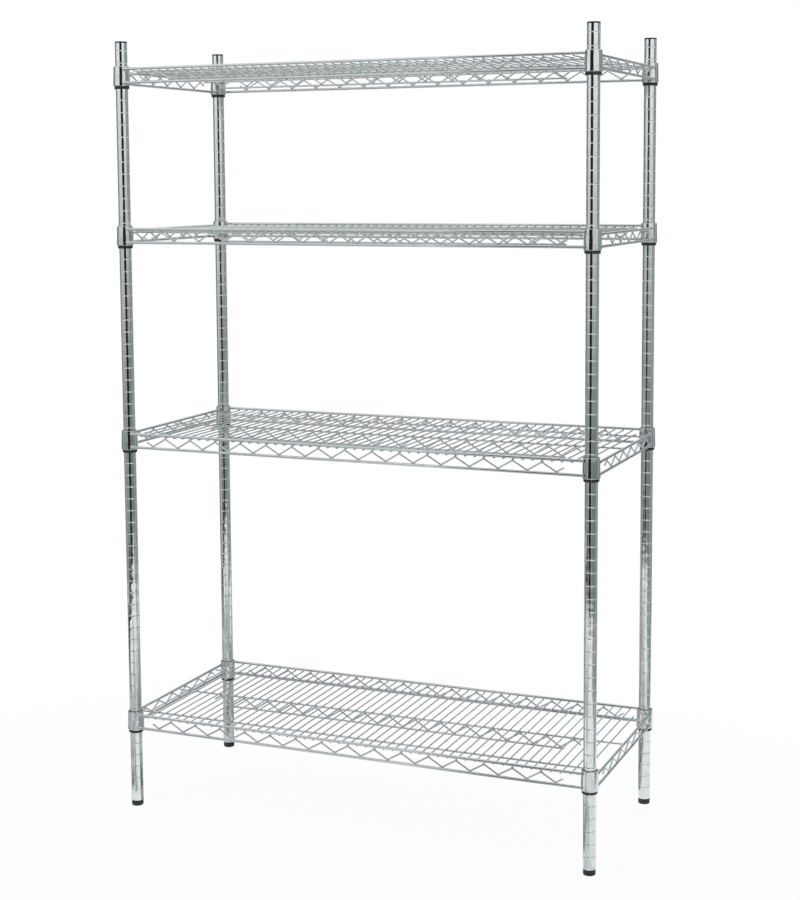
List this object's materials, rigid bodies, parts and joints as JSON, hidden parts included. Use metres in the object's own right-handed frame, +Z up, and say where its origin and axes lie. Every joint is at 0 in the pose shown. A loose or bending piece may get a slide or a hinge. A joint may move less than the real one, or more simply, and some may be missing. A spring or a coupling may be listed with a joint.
{
  "type": "wire shelving unit",
  "caption": "Tall open wire shelving unit: grooved chrome posts on levelling feet carry welded wire shelves whose tapered corner collars sit on split sleeves at adjustable heights.",
  "frame": {"origin": "on the floor, midway between the four posts", "axes": "+X to the right along the front, +Y to the back, +Z up"},
  "size_m": [1.05, 0.4498, 1.632],
  "materials": {
    "post_chrome": "bright plated, slightly wavy",
    "shelf_chrome": "bright plated over welded wire",
    "sleeve_plastic": "black moulded, satin",
    "cap_plastic": "dark grey moulded, satin",
    "insert_plastic": "black moulded",
    "foot_plastic": "black moulded, satin",
    "stud_steel": "zinc plated screw"
  },
  "bodies": {
    "frame": {"post_front_left": "post_chrome", "cap_front_left": "cap_plastic", "insert_front_left": "insert_plastic", "post_front_right": "post_chrome", "cap_front_right": "cap_plastic", "insert_front_right": "insert_plastic", "post_back_left": "post_chrome", "cap_back_left": "cap_plastic", "insert_back_left": "insert_plastic", "post_back_right": "post_chrome", "cap_back_right": "cap_plastic", "insert_back_right": "insert_plastic", "sleeves_1": "sleeve_plastic", "sleeves_2": "sleeve_plastic", "sleeves_3": "sleeve_plastic", "sleeves_4": "sleeve_plastic"},
    "shelf_1": {"shelf1_collars": "shelf_chrome", "shelf1_truss_front": "shelf_chrome", "shelf1_truss_back": "shelf_chrome", "shelf1_truss_right": "shelf_chrome", "shelf1_truss_left": "shelf_chrome", "shelf1_truss_centre": "shelf_chrome", "shelf1_inner_wires": "shelf_chrome", "shelf1_deck": "shelf_chrome"},
    "shelf_2": {"shelf2_collars": "shelf_chrome", "shelf2_truss_front": "shelf_chrome", "shelf2_truss_back": "shelf_chrome", "shelf2_truss_right": "shelf_chrome", "shelf2_truss_left": "shelf_chrome", "shelf2_truss_centre": "shelf_chrome", "shelf2_inner_wires": "shelf_chrome", "shelf2_deck": "shelf_chrome"},
    "shelf_3": {"shelf3_collars": "shelf_chrome", "shelf3_truss_front": "shelf_chrome", "shelf3_truss_back": "shelf_chrome", "shelf3_truss_right": "shelf_chrome", "shelf3_truss_left": "shelf_chrome", "shelf3_truss_centre": "shelf_chrome", "shelf3_inner_wires": "shelf_chrome", "shelf3_deck": "shelf_chrome"},
    "shelf_4": {"shelf4_collars": "shelf_chrome", "shelf4_truss_front": "shelf_chrome", "shelf4_truss_back": "shelf_chrome", "shelf4_truss_right": "shelf_chrome", "shelf4_truss_left": "shelf_chrome", "shelf4_truss_centre": "shelf_chrome", "shelf4_inner_wires": "shelf_chrome", "shelf4_deck": "shelf_chrome"},
    "stud_front_left": {"stud_front_left": "stud_steel"},
    "foot_front_left": {"foot_front_left": "foot_plastic"},
    "stud_front_right": {"stud_front_right": "stud_steel"},
    "foot_front_right": {"foot_front_right": "foot_plastic"},
    "stud_back_left": {"stud_back_left": "stud_steel"},
    "foot_back_left": {"foot_back_left": "foot_plastic"},
    "stud_back_right": {"stud_back_right": "stud_steel"},
    "foot_back_right": {"foot_back_right": "foot_plastic"}
  },
  "joints": [
    {"name": "shelf_1_lift", "type": "slide", "parent": "frame", "child": "shelf_1", "axis": [0, 0, 1], "range_m": [0, 0.555]},
    {"name": "shelf_2_lift", "type": "slide", "parent": "frame", "child": "shelf_2", "axis": [0, 0, 1], "range_m": [0, 0.378]},
    {"name": "shelf_3_lift", "type": "slide", "parent": "frame", "child": "shelf_3", "axis": [0, 0, 1], "range_m": [0, 0.276]},
    {"name": "shelf_4_lift", "type": "slide", "parent": "frame", "child": "shelf_4", "axis": [0, 0, 1], "range_m": [0, 0.12]},
    {"name": "foot_front_left_screw", "type": "slide", "parent": "frame", "child": "stud_front_left", "axis": [0, 0, -1], "range_m": [0, 0.0121]},
    {"name": "foot_front_left_turn", "type": "hinge", "parent": "stud_front_left", "child": "foot_front_left", "pos_m": [-0.5075, -0.2075, 0], "axis": [0, 0, 1], "range_deg": [0, 2880]},
    {"name": "foot_front_right_screw", "type": "slide", "parent": "frame", "child": "stud_front_right", "axis": [0, 0, -1], "range_m": [0, 0.0121]},
    {"name": "foot_front_right_turn", "type": "hinge", "parent": "stud_front_right", "child": "foot_front_right", "pos_m": [0.5075, -0.2075, 0], "axis": [0, 0, 1], "range_deg": [0, 2880]},
    {"name": "foot_back_left_screw", "type": "slide", "parent": "frame", "child": "stud_back_left", "axis": [0, 0, -1], "range_m": [0, 0.0121]},
    {"name": "foot_back_left_turn", "type": "hinge", "parent": "stud_back_left", "child": "foot_back_left", "pos_m": [-0.5075, 0.2075, 0], "axis": [0, 0, 1], "range_deg": [0, 2880]},
    {"name": "foot_back_right_screw", "type": "slide", "parent": "frame", "child": "stud_back_right", "axis": [0, 0, -1], "range_m": [0, 0.0121]},
    {"name": "foot_back_right_turn", "type": "hinge", "parent": "stud_back_right", "child": "foot_back_right", "pos_m": [0.5075, 0.2075, 0], "axis": [0, 0, 1], "range_deg": [0, 2880]}
  ],
  "couplings": [
    {"joint": "foot_front_left_screw", "follows": "foot_front_left_turn", "m_per_rad": 0.00023873},
    {"joint": "foot_front_right_screw", "follows": "foot_front_right_turn", "m_per_rad": 0.00023873},
    {"joint": "foot_back_left_screw", "follows": "foot_back_left_turn", "m_per_rad": 0.00023873},
    {"joint": "foot_back_right_screw", "follows": "foot_back_right_turn", "m_per_rad": 0.00023873}
  ]
}
